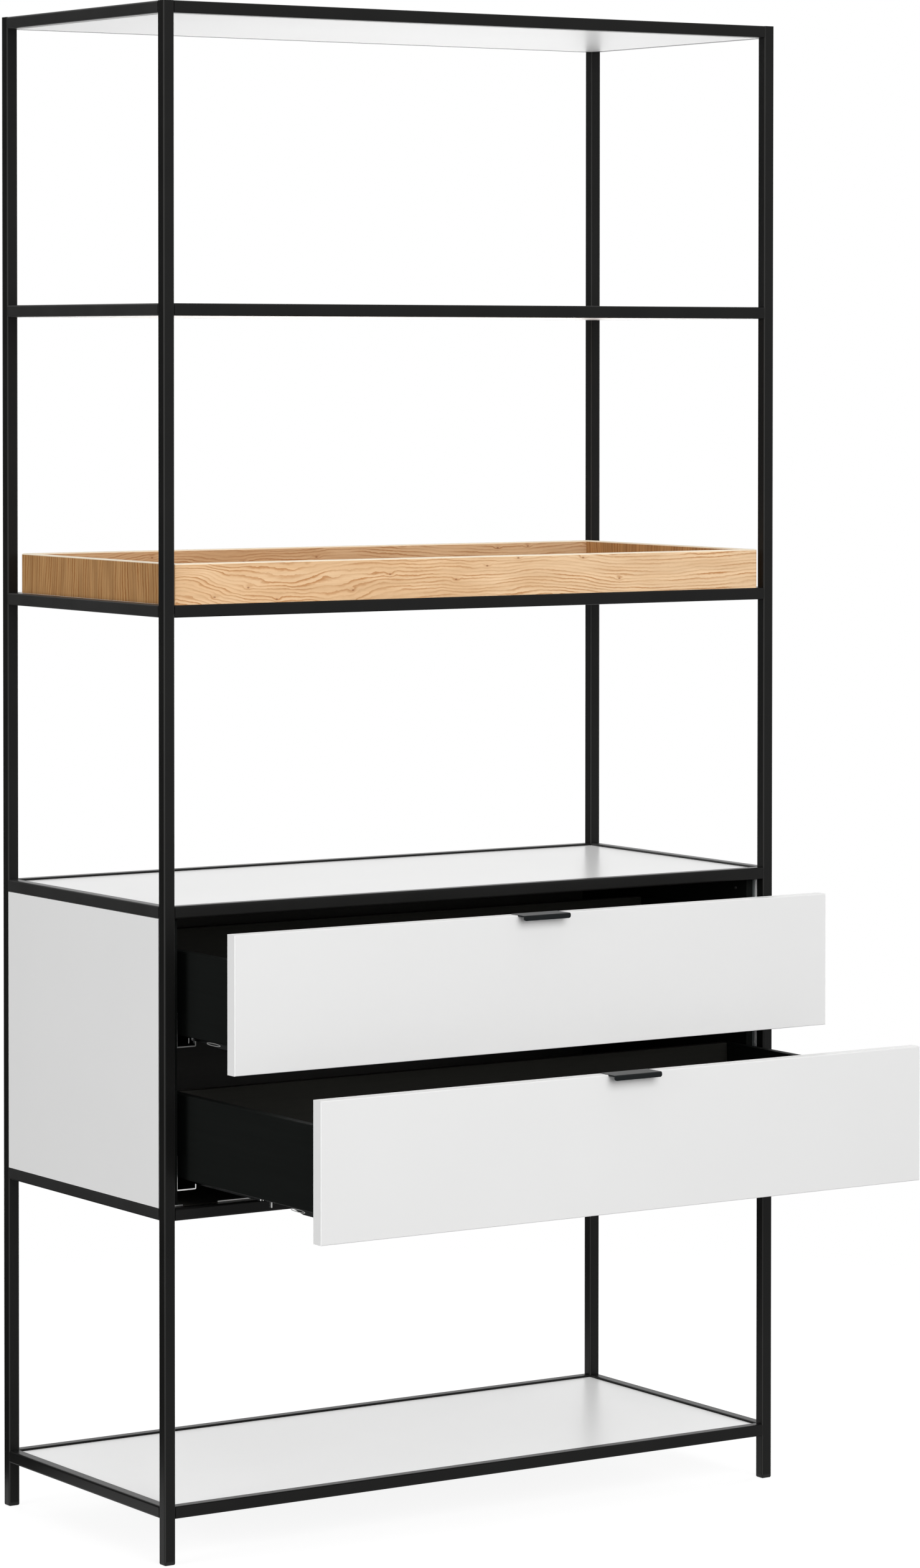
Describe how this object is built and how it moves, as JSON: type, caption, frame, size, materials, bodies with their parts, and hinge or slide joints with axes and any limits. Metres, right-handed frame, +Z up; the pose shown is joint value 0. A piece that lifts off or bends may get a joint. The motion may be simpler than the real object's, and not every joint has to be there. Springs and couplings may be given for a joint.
{
  "type": "bookcase with drawers",
  "caption": "Tall open bookcase of black square steel tube with white boards, a closed cabinet of inset drawers on telescopic runners and a loose oak tray.",
  "frame": {"origin": "on the floor, in the middle of the rectangle of the four feet", "axes": "+X to the right seen from the front, +Y to the rear, away from the drawers' fronts, +Z up"},
  "size_m": [0.96, 0.807, 2],
  "materials": {
    "black_steel": "satin black powder coat",
    "black_plastic": "matt moulded black",
    "white_board": "white satin lacquered board",
    "dark_board": "black melamine faced board",
    "zinc_steel": "zinc plated sheet",
    "oak": "clear satin lacquered oak"
  },
  "bodies": {
    "frame": {"post_front_left": "black_steel", "post_front_right": "black_steel", "post_back_left": "black_steel", "post_back_right": "black_steel", "rail_bottom_front": "black_steel", "rail_bottom_back": "black_steel", "rail_bottom_left": "black_steel", "rail_bottom_right": "black_steel", "rail_cabinet_floor_front": "black_steel", "rail_cabinet_floor_back": "black_steel", "rail_cabinet_floor_left": "black_steel", "rail_cabinet_floor_right": "black_steel", "rail_cabinet_top_front": "black_steel", "rail_cabinet_top_back": "black_steel", "rail_cabinet_top_left": "black_steel", "rail_cabinet_top_right": "black_steel", "rail_tray_front": "black_steel", "rail_tray_back": "black_steel", "rail_tray_left": "black_steel", "rail_tray_right": "black_steel", "rail_middle_front": "black_steel", "rail_middle_back": "black_steel", "rail_middle_left": "black_steel", "rail_middle_right": "black_steel", "rail_top_front": "black_steel", "rail_top_back": "black_steel", "rail_top_left": "black_steel", "rail_top_right": "black_steel", "feet": "black_plastic", "board_bottom": "white_board", "board_cabinet_floor": "dark_board", "board_cabinet_top": "white_board", "board_tray": "white_board", "board_middle": "white_board", "board_top": "white_board", "cabinet_panel_left": "white_board", "cabinet_panel_right": "white_board", "cabinet_back": "white_board", "cabinet_liner_left": "dark_board", "cabinet_liner_right": "dark_board", "runner_cabinet_members": "zinc_steel"},
    "upper_drawer": {"upper_drawer_front": "white_board", "upper_drawer_pull": "black_steel", "upper_drawer_side_left": "dark_board", "upper_drawer_side_right": "dark_board", "upper_drawer_back": "dark_board", "upper_drawer_bottom": "dark_board", "upper_runner_drawer_members": "zinc_steel"},
    "lower_drawer": {"lower_drawer_front": "white_board", "lower_drawer_pull": "black_steel", "lower_drawer_side_left": "dark_board", "lower_drawer_side_right": "dark_board", "lower_drawer_back": "dark_board", "lower_drawer_bottom": "dark_board", "lower_runner_drawer_members": "zinc_steel"},
    "upper_middle_members": {"upper_runner_middle_members": "zinc_steel"},
    "lower_middle_members": {"lower_runner_middle_members": "zinc_steel"},
    "tray": {"tray_long_walls": "oak", "tray_end_walls": "oak", "tray_bottom": "oak"}
  },
  "joints": [
    {"name": "upper_drawer_slide", "type": "slide", "parent": "frame", "child": "upper_drawer", "axis": [0, -1, 0], "range_m": [-0.146, 0.244]},
    {"name": "upper_middle_members_slide", "type": "slide", "parent": "frame", "child": "upper_middle_members", "axis": [0, -1, 0], "range_m": [-0.073, 0.122]},
    {"name": "lower_drawer_slide", "type": "slide", "parent": "frame", "child": "lower_drawer", "axis": [0, -1, 0], "range_m": [-0.354, 0.036]},
    {"name": "lower_middle_members_slide", "type": "slide", "parent": "frame", "child": "lower_middle_members", "axis": [0, -1, 0], "range_m": [-0.177, 0.018]},
    {"name": "tray_slide", "type": "slide", "parent": "frame", "child": "tray", "axis": [0, -1, 0], "range_m": [-0.02, 0.2]}
  ],
  "couplings": [
    {"joint": "upper_middle_members_slide", "follows": "upper_drawer_slide", "ratio": 0.5},
    {"joint": "lower_middle_members_slide", "follows": "lower_drawer_slide", "ratio": 0.5}
  ]
}
